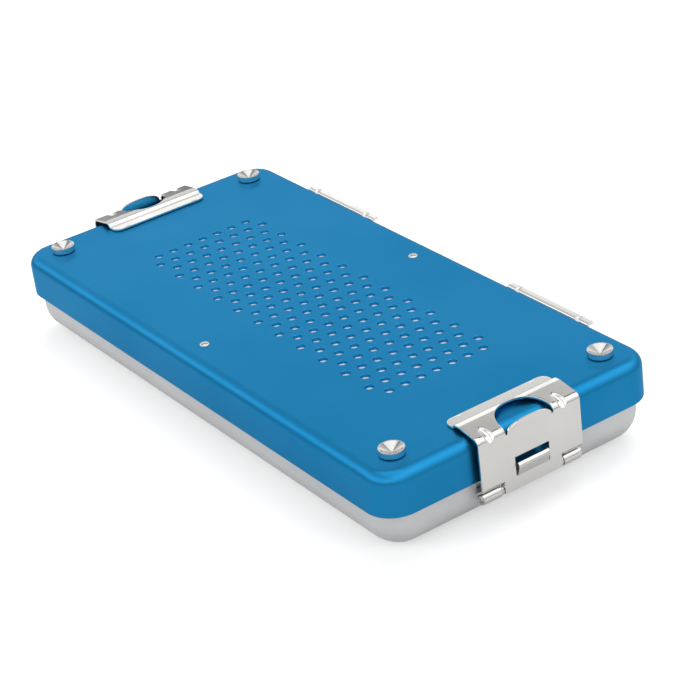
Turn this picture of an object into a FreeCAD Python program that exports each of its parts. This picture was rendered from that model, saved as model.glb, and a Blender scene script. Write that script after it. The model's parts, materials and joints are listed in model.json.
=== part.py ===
import FreeCAD, Part
import math
import os

# Flat sterilization container: a drawn aluminium tray with a perforated lid that lifts off,
# a spring latch on each end, two lid guides along the rear and a filter under the lid.
# Millimetres. Origin on the table under the centre of the lid, +X along the long side
# towards the right latch, +Y towards the rear guides, +Z up.

# Lid
lid_length = 300.0
lid_width = 140.0
lid_corner_radius = 13.5
lid_edge_radius = 5.5
lid_sheet = 1.5
lid_skirt_share = 0.503

# Tray
body_height = 38.6
tray_sheet = 1.5
tray_clearance = 0.7
tray_corner_radius = 15.0
tray_bottom_radius_share = 0.667
foot_height = 0.8

# Seal between the lid and the rim of the tray
gasket_height = 2.3
gasket_width = 4.6
gasket_fit = 0.4

# Perforated field of the lid: rows along X, every other row has one hole more
hole_diameter = 4.0
row_pitch = 8.45
hole_pitch = 8.22
field_end_margin = 57.0
field_side_margin = 41.2

# Stacking cups on the lid and the feet that stand in them
cup_end_inset = 15.5
cup_side_inset = 16.3
cup_diameter = 11.0
cup_height = 3.0
cup_rim = 0.45
cup_recess_depth = 2.2
cup_floor_diameter = 1.8
foot_top_diameter = 8.0
foot_tip_diameter = 6.0
foot_seat_height = 1.0
fixing_shank_diameter = 3.0
fixing_tail_diameter = 4.8
fixing_tail_height = 0.8
fixing_tail_relief = 0.3
fixing_clearance = 0.05

# Filter and the plate that holds it against the lid
filter_thickness = 0.2
filter_margin = 8.0
filter_edge_step = 1.5
plate_sheet = 0.8
plate_corner_radius = 6.0
plate_hole_diameter = 9.0
plate_hole_margin = 12.0
plate_hole_pitch_x = 21.0
plate_hole_pitch_y = 16.5

# Turn clips under the lid
clip_pivot_inset = 13.0
clip_overlap = 4.5
clip_width = 7.0
clip_sheet = 0.8
clip_tip_drop = 0.6
clip_running_gap = 0.3
pivot_head_diameter = 4.6
pivot_head_height = 0.9
pivot_shank_diameter = 2.6
pivot_shoulder_diameter = 6.0
pivot_pin_diameter = 3.0
pivot_tail_diameter = 5.0
pivot_tail_height = 0.8
running_clearance = 0.06

# Latches
latch_sheet = 1.0
latch_half_width = 26.0
latch_stand_off = 3.7
latch_strip_gap = 0.3
latch_strip_width = 6.1
latch_reach = 22.4
latch_jog_run = 1.4
latch_jog_rise = 1.6
latch_slope = 8.7
latch_bend_radius = 2.2
latch_crease_radius = 0.8
latch_jog_radius = 1.6
latch_strip_corner = 4.0
latch_bottom_below_pin = 1.3
thumb_hole_radius = 12.3
thumb_hole_inset = 1.4
thumb_tab_half_width = 11.3
thumb_tab_height = 2.3
thumb_tab_lean = 6.0
seal_window_half_width = 8.7
seal_window_drop_share = 0.506
seal_window_height_share = 0.322
seal_lip_half_width = 7.9
seal_lip_height = 4.9
seal_lip_reach = 1.7
seal_lip_turn = 1.2
seal_lip_radius = 1.2
dart_offset = 18.6
dart_groove_radius = 2.3
dart_wall = 0.8
dart_run = 6.7
dart_drop = 4.2

# Hinge of the latch
pin_diameter = 3.0
pin_rise_share = 0.3
pin_end_inset = 0.5
pin_chamfer = 0.3
pin_clearance = 0.08
roll_set_back = 0.5
roll_length = 9.2
roll_end_inset = 0.6
roll_crank_slope = 31.0
roll_crank_radius = 0.5
roll_end_angle = 60.0
ear_thickness = 0.9
ear_side_gap = 0.3
ear_wall = 0.85
bracket_sheet = 0.8
bracket_skirt_gap = 0.5
bracket_wing_clearance = 1.2
slit_top_gap = 1.5

# Lid guides along the rear
guide_end_inset = 71.0
guide_length = 55.0
guide_sheet = 1.0
guide_lid_gap = 0.35
guide_skirt_gap = 0.6
guide_top_drop = 2.5
guide_flange = 3.85
guide_foot_radius = 1.4
guide_inner_radius = 0.6
guide_bend_radius = 1.6
guide_dart_inset = 7.0
guide_dart_radius = 1.3
guide_dart_run = 3.2

# Rivets that hold the brackets on the tray
rivet_shank_diameter = 2.0
rivet_head_diameter = 2.8
rivet_head_height = 0.7
rivet_tail_diameter = 3.0
rivet_tail_height = 0.6
latch_rivet_spacing = 16.0
guide_rivet_spacing = 36.0

# Sizes worked out from the ones above
half_length = lid_length / 2
half_width = lid_width / 2
tray_bottom = foot_height
lid_top = foot_height + body_height
lid_underside = lid_top - lid_sheet
lid_skirt_depth = lid_skirt_share * body_height
skirt_bottom = lid_top - lid_skirt_depth
tray_bottom_radius = tray_bottom_radius_share * (body_height - lid_skirt_depth)
rim_top = lid_underside - gasket_height
tray_half_length = half_length - lid_sheet - tray_clearance
tray_half_width = half_width - lid_sheet - tray_clearance
wall_bottom = tray_bottom + tray_bottom_radius
filter_top = lid_underside
plate_top = filter_top - filter_thickness
plate_bottom = plate_top - plate_sheet
clip_top = plate_bottom - clip_running_gap
clip_bottom = clip_top - clip_sheet
row_count = int((lid_length - 2 * field_end_margin) / row_pitch) + 1
holes_in_long_row = int((lid_width - 2 * field_side_margin) / hole_pitch) + 1
field_half_length = (row_count - 1) / 2 * row_pitch + hole_diameter / 2
field_half_width = (holes_in_long_row - 1) / 2 * hole_pitch + hole_diameter / 2
plate_half_length = field_half_length + filter_margin
plate_half_width = field_half_width + filter_margin
plate_hole_columns = int(2 * (plate_half_length - plate_hole_margin) / plate_hole_pitch_x) + 1
plate_hole_rows = int(2 * (plate_half_width - plate_hole_margin) / plate_hole_pitch_y) + 1
cup_spacing_x = lid_length - 2 * cup_end_inset
cup_spacing_y = lid_width - 2 * cup_side_inset
clip_pivot_offset = half_width - clip_pivot_inset
guide_spacing = lid_length - 2 * guide_end_inset

latch_face = half_length + latch_stand_off
pin_height = tray_bottom + pin_rise_share * body_height
latch_drop = lid_top - pin_height
seal_window_top = lid_top - seal_window_drop_share * latch_drop
seal_window_bottom = seal_window_top - seal_window_height_share * latch_drop
pin_radius = pin_diameter / 2
roll_inner_radius = pin_radius + pin_clearance
roll_outer_radius = roll_inner_radius + latch_sheet
pin_x = latch_face - roll_set_back - roll_outer_radius
roll_outer_end = latch_half_width - roll_end_inset
roll_inner_end = roll_outer_end - roll_length
ear_outer = roll_inner_end - ear_side_gap
ear_inner = ear_outer - ear_thickness
slit_inner = ear_inner - ear_side_gap
ear_radius = pin_radius + ear_wall
slit_top = pin_height + ear_radius + slit_top_gap
strip_top = lid_top + latch_strip_gap + latch_sheet
strip_inner = latch_face - latch_reach
crease_x = strip_inner + latch_strip_width
jog_top_x = crease_x + latch_jog_run
jog_top_z = strip_top + latch_jog_rise
bend_z = jog_top_z - (latch_face - jog_top_x) * math.tan(math.radians(latch_slope))
bracket_top = skirt_bottom - bracket_skirt_gap

guide_face = half_width + guide_lid_gap
guide_shelf_top = skirt_bottom - guide_skirt_gap
guide_top = lid_top - guide_top_drop


def vec(x, y, z):
    return FreeCAD.Vector(x, y, z)


def block(x0, x1, y0, y1, z0, z1):
    return Part.makeBox(x1 - x0, y1 - y0, z1 - z0, vec(x0, y0, z0))


def upright(x, y, z0, z1, radius):
    return Part.makeCylinder(radius, z1 - z0, vec(x, y, z0))


def turned(profile, x, y):
    # Solid of revolution about the upright line through x, y. The profile lists radius and height.
    points = [vec(x + r, y, z) for r, z in profile]
    face = Part.Face(Part.makePolygon(points + [points[0]]))
    return face.revolve(vec(x, y, 0), vec(0, 0, 1), 360)


def round_block(half_x, half_y, corner, z0, z1):
    # Upright block with rounded corners, centred on the Z axis.
    solid = block(-half_x, half_x, -half_y, half_y, z0, z1)
    uprights = [e for e in solid.Edges if abs(e.tangentAt(e.FirstParameter).z) > 0.99]
    return solid.makeFillet(corner, uprights)


def drawn_block(half_x, half_y, corner, z0, z1, edge_radius, edge_z):
    # Rounded block whose edges at the height edge_z are rolled over, as on a drawn sheet.
    solid = round_block(half_x, half_y, corner, z0, z1)
    edges = [e for e in solid.Edges if abs(e.BoundBox.ZMin - edge_z) + abs(e.BoundBox.ZMax - edge_z) < 1e-4]
    return solid.makeFillet(edge_radius, edges)


def bent_line(points, radii):
    # Wire through the points with a round of the given radius at each inner point.
    edges = []
    start = points[0]
    for i in range(1, len(points) - 1):
        corner = points[i]
        back = (points[i - 1] - corner).normalize()
        ahead = (points[i + 1] - corner).normalize()
        half_angle = back.getAngle(ahead) / 2
        reach = radii[i - 1] / math.tan(half_angle)
        middle = (back + ahead).normalize()
        centre = corner + middle * (radii[i - 1] / math.sin(half_angle))
        first = corner + back * reach
        last = corner + ahead * reach
        edges.append(Part.LineSegment(start, first).toShape())
        edges.append(Part.Arc(first, centre - middle * radii[i - 1], last).toShape())
        start = last
    edges.append(Part.LineSegment(start, points[-1]).toShape())
    return Part.Wire(edges)


def sheet_along(wire, thickness, run):
    # Sheet with one face on the wire, on the side of a positive thickness, run out along a vector.
    face = wire.makeOffset2D(thickness, 0, True, True)
    return face.extrude(run)


def mirrored_y(shape):
    return shape.mirror(vec(0, 0, 0), vec(0, 1, 0))


def perforation_centres():
    centres = []
    for row in range(row_count):
        x = (row - (row_count - 1) / 2) * row_pitch
        count = holes_in_long_row - (row + 1) % 2
        for i in range(count):
            centres.append((x, (i - (count - 1) / 2) * hole_pitch))
    return centres


def four_corners(spacing_x, spacing_y):
    return [(sx * spacing_x / 2, sy * spacing_y / 2) for sx in (-1, 1) for sy in (-1, 1)]


def lid_shell():
    outer = drawn_block(half_length, half_width, lid_corner_radius, skirt_bottom, lid_top,
                        lid_edge_radius, lid_top)
    inner = drawn_block(half_length - lid_sheet, half_width - lid_sheet, lid_corner_radius - lid_sheet,
                        skirt_bottom - lid_sheet, lid_underside, lid_edge_radius - lid_sheet, lid_underside)
    cutters = [inner]
    for x, y in perforation_centres():
        cutters.append(upright(x, y, lid_underside - lid_sheet, lid_top + lid_sheet, hole_diameter / 2))
    for x, y in four_corners(cup_spacing_x, cup_spacing_y):
        radius = fixing_shank_diameter / 2 + fixing_clearance
        cutters.append(upright(x, y, lid_underside - lid_sheet, lid_top + lid_sheet, radius))
    for side in (-1, 1):
        radius = pivot_shank_diameter / 2 + fixing_clearance
        cutters.append(upright(0, side * clip_pivot_offset, lid_underside - lid_sheet, lid_top + lid_sheet, radius))
    return outer.cut(cutters)


def lid_gasket():
    # Seal ring in the rolled edge of the lid. Its flat underside meets the rim of the tray.
    inset = lid_sheet + gasket_fit
    edge_radius = lid_edge_radius - lid_sheet
    ring = drawn_block(half_length - inset, half_width - inset, lid_corner_radius - inset,
                       rim_top - 2 * edge_radius, lid_underside, edge_radius, lid_underside)
    inner_x = half_length - inset - gasket_width
    inner_y = half_width - inset - gasket_width
    below = block(-half_length, half_length, -half_width, half_width, 0, rim_top)
    opening = round_block(inner_x, inner_y, lid_corner_radius - inset - gasket_width, 0, lid_top)
    return ring.cut([below, opening])


def stacking_cup(x, y):
    rim = cup_diameter / 2
    shank = fixing_shank_diameter / 2
    tail = fixing_tail_diameter / 2
    top = lid_top + cup_height
    profile = [
        (0, lid_underside - fixing_tail_height),
        (tail, lid_underside - fixing_tail_height),
        (tail, lid_underside - fixing_tail_relief),
        (shank, lid_underside),
        (shank, lid_top),
        (rim - cup_rim, lid_top),
        (rim, lid_top + cup_rim),
        (rim, top),
        (rim - cup_rim, top),
        (cup_floor_diameter / 2, top - cup_recess_depth),
        (0, top - cup_recess_depth),
    ]
    return turned(profile, x, y)


def tray_outside():
    return drawn_block(tray_half_length, tray_half_width, tray_corner_radius, tray_bottom, rim_top,
                       tray_bottom_radius, tray_bottom)


def tray_inside():
    return drawn_block(tray_half_length - tray_sheet, tray_half_width - tray_sheet,
                       tray_corner_radius - tray_sheet, tray_bottom + tray_sheet, rim_top + tray_sheet,
                       tray_bottom_radius - tray_sheet, tray_bottom + tray_sheet)


def foot(x, y):
    # Low tapered foot. Its top and its riveted tail are shaped to the drawn bottom of the tray.
    tail_top = tray_bottom + tray_sheet + fixing_tail_height
    profile = [
        (0, 0),
        (foot_tip_diameter / 2, 0),
        (foot_top_diameter / 2, tray_bottom),
        (foot_top_diameter / 2, tray_bottom + foot_seat_height),
        (0, tray_bottom + foot_seat_height),
    ]
    pad = turned(profile, x, y).cut(tray_outside())
    shank = upright(x, y, tray_bottom, tail_top, fixing_shank_diameter / 2)
    tail = upright(x, y, tray_bottom, tail_top, fixing_tail_diameter / 2).common(tray_inside())
    return pad.fuse([shank, tail]).removeSplitter()


def filter_sheet():
    half_x = plate_half_length - filter_edge_step
    half_y = plate_half_width - filter_edge_step
    return round_block(half_x, half_y, plate_corner_radius, plate_top, filter_top)


def filter_plate():
    plate = round_block(plate_half_length, plate_half_width, plate_corner_radius, plate_bottom, plate_top)
    cutters = []
    for column in range(plate_hole_columns):
        for row in range(plate_hole_rows):
            x = (column - (plate_hole_columns - 1) / 2) * plate_hole_pitch_x
            y = (row - (plate_hole_rows - 1) / 2) * plate_hole_pitch_y
            cutters.append(upright(x, y, plate_bottom - plate_sheet, filter_top, plate_hole_diameter / 2))
    return plate.cut(cutters)


def clip_pivot(side):
    # Shouldered rivet: head on the lid, shoulder under it, and a peened tail that holds the clip.
    head = pivot_head_diameter / 2
    shank = pivot_shank_diameter / 2
    shoulder = pivot_shoulder_diameter / 2
    pin = pivot_pin_diameter / 2
    tail = pivot_tail_diameter / 2
    shoulder_bottom = clip_top + running_clearance
    tail_top = clip_bottom - running_clearance
    profile = [
        (0, tail_top - pivot_tail_height),
        (tail, tail_top - pivot_tail_height),
        (tail, tail_top),
        (pin, tail_top),
        (pin, shoulder_bottom),
        (shoulder, shoulder_bottom),
        (shoulder, lid_underside),
        (shank, lid_underside),
        (shank, lid_top),
        (head, lid_top),
        (head, lid_top + pivot_head_height / 2),
        (head - pivot_head_height / 2, lid_top + pivot_head_height),
        (0, lid_top + pivot_head_height),
    ]
    return turned(profile, 0, side * clip_pivot_offset)


def filter_clip(side):
    # Flat turn clip from its pivot to under the edge of the filter plate, with a turned-down tip.
    half = clip_width / 2
    tip_y = plate_half_width - clip_overlap
    straight = block(-half, half, tip_y + half, clip_pivot_offset, clip_bottom, clip_top)
    parts = [upright(0, tip_y + half, clip_bottom, clip_top, half)]
    parts.append(upright(0, clip_pivot_offset, clip_bottom, clip_top, half))
    bead = Part.makeCylinder(clip_tip_drop + clip_sheet / 2, clip_width / 2,
                             vec(-clip_width / 4, tip_y + half, clip_bottom + clip_sheet / 2), vec(1, 0, 0))
    below = block(-half, half, 0, clip_pivot_offset, 0, clip_top)
    parts.append(bead.common(below))
    hole = upright(0, clip_pivot_offset, 0, lid_top, pivot_pin_diameter / 2 + running_clearance)
    clip = straight.fuse(parts).removeSplitter().cut(hole)
    return clip if side > 0 else mirrored_y(clip)


def across_wall_hole(x, y, z, direction):
    # Cutter for a rivet shank that goes through a wall along the given direction.
    reach = tray_sheet + guide_sheet + rivet_head_height
    radius = rivet_shank_diameter / 2 + fixing_clearance
    return Part.makeCylinder(radius, 2 * reach, vec(x, y, z) - direction * reach, direction)


def wall_rivet(x, y, z, direction, plate):
    # Rivet through the tray wall, whose outer face is at the point, and a plate on that face.
    shank = rivet_shank_diameter / 2
    head = rivet_head_diameter / 2
    tail = rivet_tail_diameter / 2
    profile = [
        (0, -tray_sheet - rivet_tail_height),
        (tail, -tray_sheet - rivet_tail_height),
        (tail, -tray_sheet),
        (shank, -tray_sheet),
        (shank, plate),
        (head, plate),
        (head, plate + rivet_head_height / 2),
        (head - rivet_head_height / 2, plate + rivet_head_height),
        (0, plate + rivet_head_height),
    ]
    rivet = turned(profile, 0, 0)
    turn = FreeCAD.Rotation(vec(0, 0, 1), direction)
    rivet.Placement = FreeCAD.Placement(vec(x, y, z), turn)
    return rivet


def latch_rivet_points():
    z = (wall_bottom + bracket_top) / 2
    return [(side * latch_rivet_spacing / 2, z) for side in (-1, 1)]


def guide_rivet_points(centre_x):
    z = (wall_bottom + guide_shelf_top - guide_foot_radius) / 2
    return [(centre_x + side * guide_rivet_spacing / 2, z) for side in (-1, 1)]


def base_tray():
    cutters = [tray_inside()]
    for x, y in four_corners(cup_spacing_x, cup_spacing_y):
        radius = fixing_shank_diameter / 2 + fixing_clearance
        cutters.append(upright(x, y, 0, tray_bottom + 2 * tray_sheet, radius))
    for side in (-1, 1):
        for y, z in latch_rivet_points():
            cutters.append(across_wall_hole(side * tray_half_length, y, z, vec(side, 0, 0)))
        for x, z in guide_rivet_points(side * guide_spacing / 2):
            cutters.append(across_wall_hole(x, tray_half_width, z, vec(0, 1, 0)))
    return tray_outside().cut(cutters)


def pressed_dart(sheet, inside, start, end, radius, outwards):
    # Stiffening dart pressed across a bend: a groove whose bottom runs from start to end on the
    # outside of the bend, and the matching swelling on its inside.
    run = end - start
    axis = start + outwards.normalize() * radius
    swelling = Part.makeCylinder(radius + dart_wall, run.Length, axis, run)
    groove = Part.makeCylinder(radius, 2 * run.Length, axis - run * 0.5, run)
    return sheet.fuse(swelling.common(inside)).cut(groove)


def latch_pin():
    length = 2 * (latch_half_width - pin_end_inset)
    pin = Part.makeCylinder(pin_radius, length, vec(pin_x, -length / 2, pin_height), vec(0, 1, 0))
    rims = [e for e in pin.Edges if e.Curve.TypeId == "Part::GeomCircle"]
    return pin.makeChamfer(pin_chamfer, rims)


def latch_bracket():
    # Plate on the end wall with two ears that carry the pin.
    wall = tray_half_length
    face = wall + bracket_sheet
    plate = block(wall, face, -ear_outer, ear_outer, wall_bottom, bracket_top)
    wing_bottom = pin_height + roll_outer_radius + bracket_wing_clearance
    wings = block(wall, face, -roll_outer_end, roll_outer_end, wing_bottom, bracket_top)
    bracket = plate.fuse(wings)
    low = math.radians(205)
    high = math.radians(60)
    outline = [
        vec(wall, -ear_outer, bracket_top),
        vec(wall, -ear_outer, wall_bottom),
        vec(pin_x + ear_radius * math.cos(low), -ear_outer, pin_height + ear_radius * math.sin(low)),
        vec(pin_x + ear_radius * math.cos(high), -ear_outer, pin_height + ear_radius * math.sin(high)),
    ]
    web = Part.Face(Part.makePolygon(outline + [outline[0]])).extrude(vec(0, ear_thickness, 0))
    tip = Part.makeCylinder(ear_radius, ear_thickness, vec(pin_x, -ear_outer, pin_height), vec(0, 1, 0))
    ear = web.fuse(tip)
    bracket = bracket.fuse([ear, mirrored_y(ear)]).removeSplitter()
    bore = Part.makeCylinder(pin_radius + fixing_clearance, 2 * latch_half_width,
                             vec(pin_x, -latch_half_width, pin_height), vec(0, 1, 0))
    cutters = [bore]
    for y, z in latch_rivet_points():
        cutters.append(across_wall_hole(wall, y, z, vec(1, 0, 0)))
    return bracket.cut(cutters)


def latch_roll():
    # One end of the latch's lower edge, cranked inwards over the pin and curled round it, down
    # behind the pin and up in front of it.
    y = roll_inner_end
    slope = math.radians(roll_crank_slope)
    inner_face = latch_face - latch_sheet
    meets = (inner_face - pin_x) * math.tan(slope) + roll_outer_radius / math.cos(slope)
    wrap = 270 + roll_end_angle - roll_crank_slope

    def round_the_pin(angle):
        turn = slope + math.pi / 2 + math.radians(angle)
        return vec(pin_x + roll_outer_radius * math.cos(turn), y, pin_height + roll_outer_radius * math.sin(turn))

    points = [
        vec(inner_face, y, slit_top + latch_sheet),
        vec(inner_face, y, pin_height + meets),
        round_the_pin(0),
    ]
    edges = list(bent_line(points, [roll_crank_radius]).Edges)
    half = wrap / 2
    edges.append(Part.Arc(round_the_pin(0), round_the_pin(half / 2), round_the_pin(half)).toShape())
    edges.append(Part.Arc(round_the_pin(half), round_the_pin(1.5 * half), round_the_pin(wrap)).toShape())
    return sheet_along(Part.Wire(edges), latch_sheet, vec(0, roll_length, 0))


def thumb_tab():
    # The piece cut free of the thumb hole, left standing on the flap, with a low arched edge.
    foot_z = bend_z - latch_bend_radius
    height = lid_top + thumb_tab_height - foot_z
    arch = Part.Ellipse(vec(latch_face, 0, foot_z), thumb_tab_half_width, height)
    arch.rotate(FreeCAD.Placement(vec(latch_face, 0, foot_z), FreeCAD.Rotation(vec(1, 1, 1), 120)))
    tab = Part.Face(Part.Wire(arch.toShape())).extrude(vec(-latch_sheet, 0, 0))
    above = block(half_length, latch_face + latch_sheet, -latch_half_width, latch_half_width,
                  foot_z - latch_sheet / 2, foot_z + 2 * height)
    tab = tab.common(above)
    tab.rotate(vec(latch_face, 0, foot_z), vec(0, 1, 0), thumb_tab_lean)
    return tab


def seal_lip():
    # Lip pressed out of the seal window, leaning outwards from its lower edge and turned in at the top.
    y = -seal_lip_half_width
    top = seal_window_bottom + seal_lip_height
    line = bent_line([
        vec(latch_face, y, seal_window_bottom - latch_sheet / 2),
        vec(latch_face + seal_lip_reach, y, top),
        vec(latch_face + seal_lip_reach - seal_lip_turn, y, top + seal_lip_turn),
    ], [seal_lip_radius])
    return sheet_along(line, latch_sheet, vec(0, 2 * seal_lip_half_width, 0))


def latch_flap():
    y = -latch_half_width
    bottom = pin_height - latch_bottom_below_pin
    points = [
        vec(strip_inner, y, strip_top),
        vec(crease_x, y, strip_top),
        vec(jog_top_x, y, jog_top_z),
        vec(latch_face, y, bend_z),
        vec(latch_face, y, bottom),
    ]
    line = bent_line(points, [latch_crease_radius, latch_jog_radius, latch_bend_radius])
    sheet = sheet_along(line, -latch_sheet, vec(0, 2 * latch_half_width, 0))

    # The strip that lies on the lid has rounded corners.
    plan = block(strip_inner, latch_face + latch_sheet, y, -y, 0, lid_top + latch_reach)
    corners = [e for e in plan.Edges
               if abs(e.tangentAt(e.FirstParameter).z) > 0.99 and e.BoundBox.XMax < latch_face]
    sheet = sheet.common(plan.makeFillet(latch_strip_corner, corners))

    # Darts across the bend
    inside = Part.Face(Part.makePolygon([
        vec(jog_top_x, y, jog_top_z), vec(latch_face, y, bend_z),
        vec(latch_face, y, bottom), vec(jog_top_x, y, bottom), vec(jog_top_x, y, jog_top_z),
    ])).extrude(vec(0, 2 * latch_half_width, 0))
    for side in (-1, 1):
        dart_y = side * dart_offset
        start = vec(latch_face - dart_run, dart_y, bend_z + dart_run * math.tan(math.radians(latch_slope)))
        end = vec(latch_face, dart_y, bend_z - dart_drop)
        outwards = vec(start.z - end.z, 0, end.x - start.x)
        sheet = pressed_dart(sheet, inside, start, end, dart_groove_radius, outwards)

    # Thumb hole, seal window, and the slits and gaps at the hinge
    cutters = [upright(latch_face - thumb_hole_inset, 0, bend_z - latch_bend_radius, lid_top + latch_reach,
                       thumb_hole_radius)]
    cutters.append(block(half_length, latch_face + latch_sheet, -seal_window_half_width, seal_window_half_width,
                         seal_window_bottom, seal_window_top))
    for side in (-1, 1):
        low, high = sorted((side * slit_inner, side * (latch_half_width + latch_sheet)))
        cutters.append(block(half_length - latch_sheet, latch_face + latch_sheet, low, high, 0, slit_top))
    sheet = sheet.cut(cutters)

    roll = latch_roll()
    return sheet.fuse([thumb_tab(), seal_lip(), roll, mirrored_y(roll)]).removeSplitter()


def lid_guide(centre_x):
    # Leaf riveted to the rear wall, stepped out past the lid and turned out at the top.
    x = centre_x - guide_length / 2
    wall = tray_half_width
    points = [
        vec(x, wall, wall_bottom),
        vec(x, wall, guide_shelf_top),
        vec(x, guide_face, guide_shelf_top),
        vec(x, guide_face, guide_top),
        vec(x, guide_face + guide_flange, guide_top),
    ]
    line = bent_line(points, [guide_foot_radius, guide_inner_radius, guide_bend_radius])
    guide = sheet_along(line, guide_sheet, vec(guide_length, 0, 0))
    inside = block(x, x + guide_length, guide_face, guide_face + guide_flange, wall_bottom, guide_top)
    for side in (-1, 1):
        dart_x = centre_x + side * (guide_length / 2 - guide_dart_inset)
        start = vec(dart_x, guide_face + guide_dart_run, guide_top)
        end = vec(dart_x, guide_face, guide_top - guide_dart_run)
        guide = pressed_dart(guide, inside, start, end, guide_dart_radius, vec(0, -1, 1))
    cutters = [across_wall_hole(px, wall, pz, vec(0, 1, 0)) for px, pz in guide_rivet_points(centre_x)]
    return guide.cut(cutters)


def to_the_left(shape):
    # The left end carries the same pieces turned half round.
    copy = shape.copy()
    copy.rotate(vec(0, 0, 0), vec(0, 0, 1), 180)
    return copy


def latch_rivets():
    rivets = [wall_rivet(tray_half_length, y, z, vec(1, 0, 0), bracket_sheet) for y, z in latch_rivet_points()]
    return Part.makeCompound(rivets)


def guide_rivets(centre_x):
    rivets = [wall_rivet(x, tray_half_width, z, vec(0, 1, 0), guide_sheet) for x, z in guide_rivet_points(centre_x)]
    return Part.makeCompound(rivets)


def container():
    parts = {
        "lid_shell": lid_shell(),
        "lid_gasket": lid_gasket(),
        "filter_sheet": filter_sheet(),
        "filter_plate": filter_plate(),
        "base_tray": base_tray(),
    }
    corner_names = ("left_front", "left_rear", "right_front", "right_rear")
    for name, (x, y) in zip(corner_names, four_corners(cup_spacing_x, cup_spacing_y)):
        parts["stacking_cup_" + name] = stacking_cup(x, y)
        parts["foot_" + name] = foot(x, y)
    for name, side in (("front", -1), ("rear", 1)):
        parts["clip_pivot_" + name] = clip_pivot(side)
        parts["filter_clip_" + name] = filter_clip(side)
    right_pieces = {
        "latch_bracket": latch_bracket(),
        "latch_pin": latch_pin(),
        "latch_flap": latch_flap(),
        "latch_rivets": latch_rivets(),
    }
    for name, shape in right_pieces.items():
        parts[name + "_right"] = shape
        parts[name + "_left"] = to_the_left(shape)
    for name, side in (("left", -1), ("right", 1)):
        parts["lid_guide_" + name] = lid_guide(side * guide_spacing / 2)
        parts["guide_rivets_" + name] = guide_rivets(side * guide_spacing / 2)
    return parts


os.makedirs("parts", exist_ok=True)
for node, shape in container().items():
    shape.exportStep(os.path.join("parts", node + ".step"))
    box = shape.BoundBox
    print(f"{node}: solids {len(shape.Solids)}, valid {shape.isValid()}, volume {shape.Volume:.1f}, "
          f"x {box.XMin:.2f} {box.XMax:.2f}, y {box.YMin:.2f} {box.YMax:.2f}, z {box.ZMin:.2f} {box.ZMax:.2f}")
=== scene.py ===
import json
import math

import bmesh
import bpy
from mathutils import Matrix, Vector
from mathutils.geometry import delaunay_2d_cdt


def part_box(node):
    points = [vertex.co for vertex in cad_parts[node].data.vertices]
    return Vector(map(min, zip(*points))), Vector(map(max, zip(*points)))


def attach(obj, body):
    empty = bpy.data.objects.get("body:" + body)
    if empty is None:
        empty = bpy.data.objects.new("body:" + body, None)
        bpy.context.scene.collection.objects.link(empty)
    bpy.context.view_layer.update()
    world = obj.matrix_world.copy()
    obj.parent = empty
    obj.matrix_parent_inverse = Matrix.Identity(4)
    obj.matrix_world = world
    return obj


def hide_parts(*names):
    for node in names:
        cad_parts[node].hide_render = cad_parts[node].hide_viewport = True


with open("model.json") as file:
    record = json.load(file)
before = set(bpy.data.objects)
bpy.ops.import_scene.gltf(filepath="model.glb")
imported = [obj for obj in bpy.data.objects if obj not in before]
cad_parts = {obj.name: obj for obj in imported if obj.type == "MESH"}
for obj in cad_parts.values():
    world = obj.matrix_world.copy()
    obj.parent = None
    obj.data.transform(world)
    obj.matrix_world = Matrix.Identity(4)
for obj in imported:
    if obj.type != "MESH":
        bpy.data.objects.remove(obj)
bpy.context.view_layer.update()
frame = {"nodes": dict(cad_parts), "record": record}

cad = frame["nodes"]
mm = 0.001
lidLow, lidHigh = (Vector(corner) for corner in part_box("lid_shell"))
trayLow, trayHigh = (Vector(corner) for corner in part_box("base_tray"))
pinLow, pinHigh = (Vector(corner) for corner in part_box("latch_pin_right"))
print("frame read, lid top at", round(lidHigh.z, 4))


# Materials

def nodeMaterial(name):
    material = bpy.data.materials.new(name)
    material.use_nodes = True
    tree = material.node_tree
    shader = tree.nodes["Principled BSDF"]
    return material, tree, shader


def objectCoordinates(tree, scale=(1, 1, 1), turn=(0, 0, 0)):
    source = tree.nodes.new("ShaderNodeTexCoord")
    mapping = tree.nodes.new("ShaderNodeMapping")
    mapping.inputs["Scale"].default_value = scale
    mapping.inputs["Rotation"].default_value = turn
    tree.links.new(source.outputs["Object"], mapping.inputs["Vector"])
    return mapping.outputs["Vector"]


def noiseOn(tree, vector, scale, detail=3.0, roughness=0.55):
    noise = tree.nodes.new("ShaderNodeTexNoise")
    noise.inputs["Scale"].default_value = scale
    noise.inputs["Detail"].default_value = detail
    noise.inputs["Roughness"].default_value = roughness
    tree.links.new(vector, noise.inputs["Vector"])
    return noise.outputs["Fac"]


def rangeOf(tree, value, low, high, fromLow=0.0, fromHigh=1.0):
    remap = tree.nodes.new("ShaderNodeMapRange")
    remap.inputs["From Min"].default_value = fromLow
    remap.inputs["From Max"].default_value = fromHigh
    remap.inputs["To Min"].default_value = low
    remap.inputs["To Max"].default_value = high
    tree.links.new(value, remap.inputs["Value"])
    return remap.outputs["Result"]


def colourBetween(tree, value, first, second):
    mix = tree.nodes.new("ShaderNodeMix")
    mix.data_type = "RGBA"
    mix.inputs["A"].default_value = (*first, 1)
    mix.inputs["B"].default_value = (*second, 1)
    tree.links.new(value, mix.inputs["Factor"])
    return mix.outputs["Result"]


def bumpFrom(tree, height, shader, strength, distance):
    bump = tree.nodes.new("ShaderNodeBump")
    bump.inputs["Strength"].default_value = strength
    bump.inputs["Distance"].default_value = distance
    tree.links.new(height, bump.inputs["Height"])
    tree.links.new(bump.outputs["Normal"], shader.inputs["Normal"])


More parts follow.
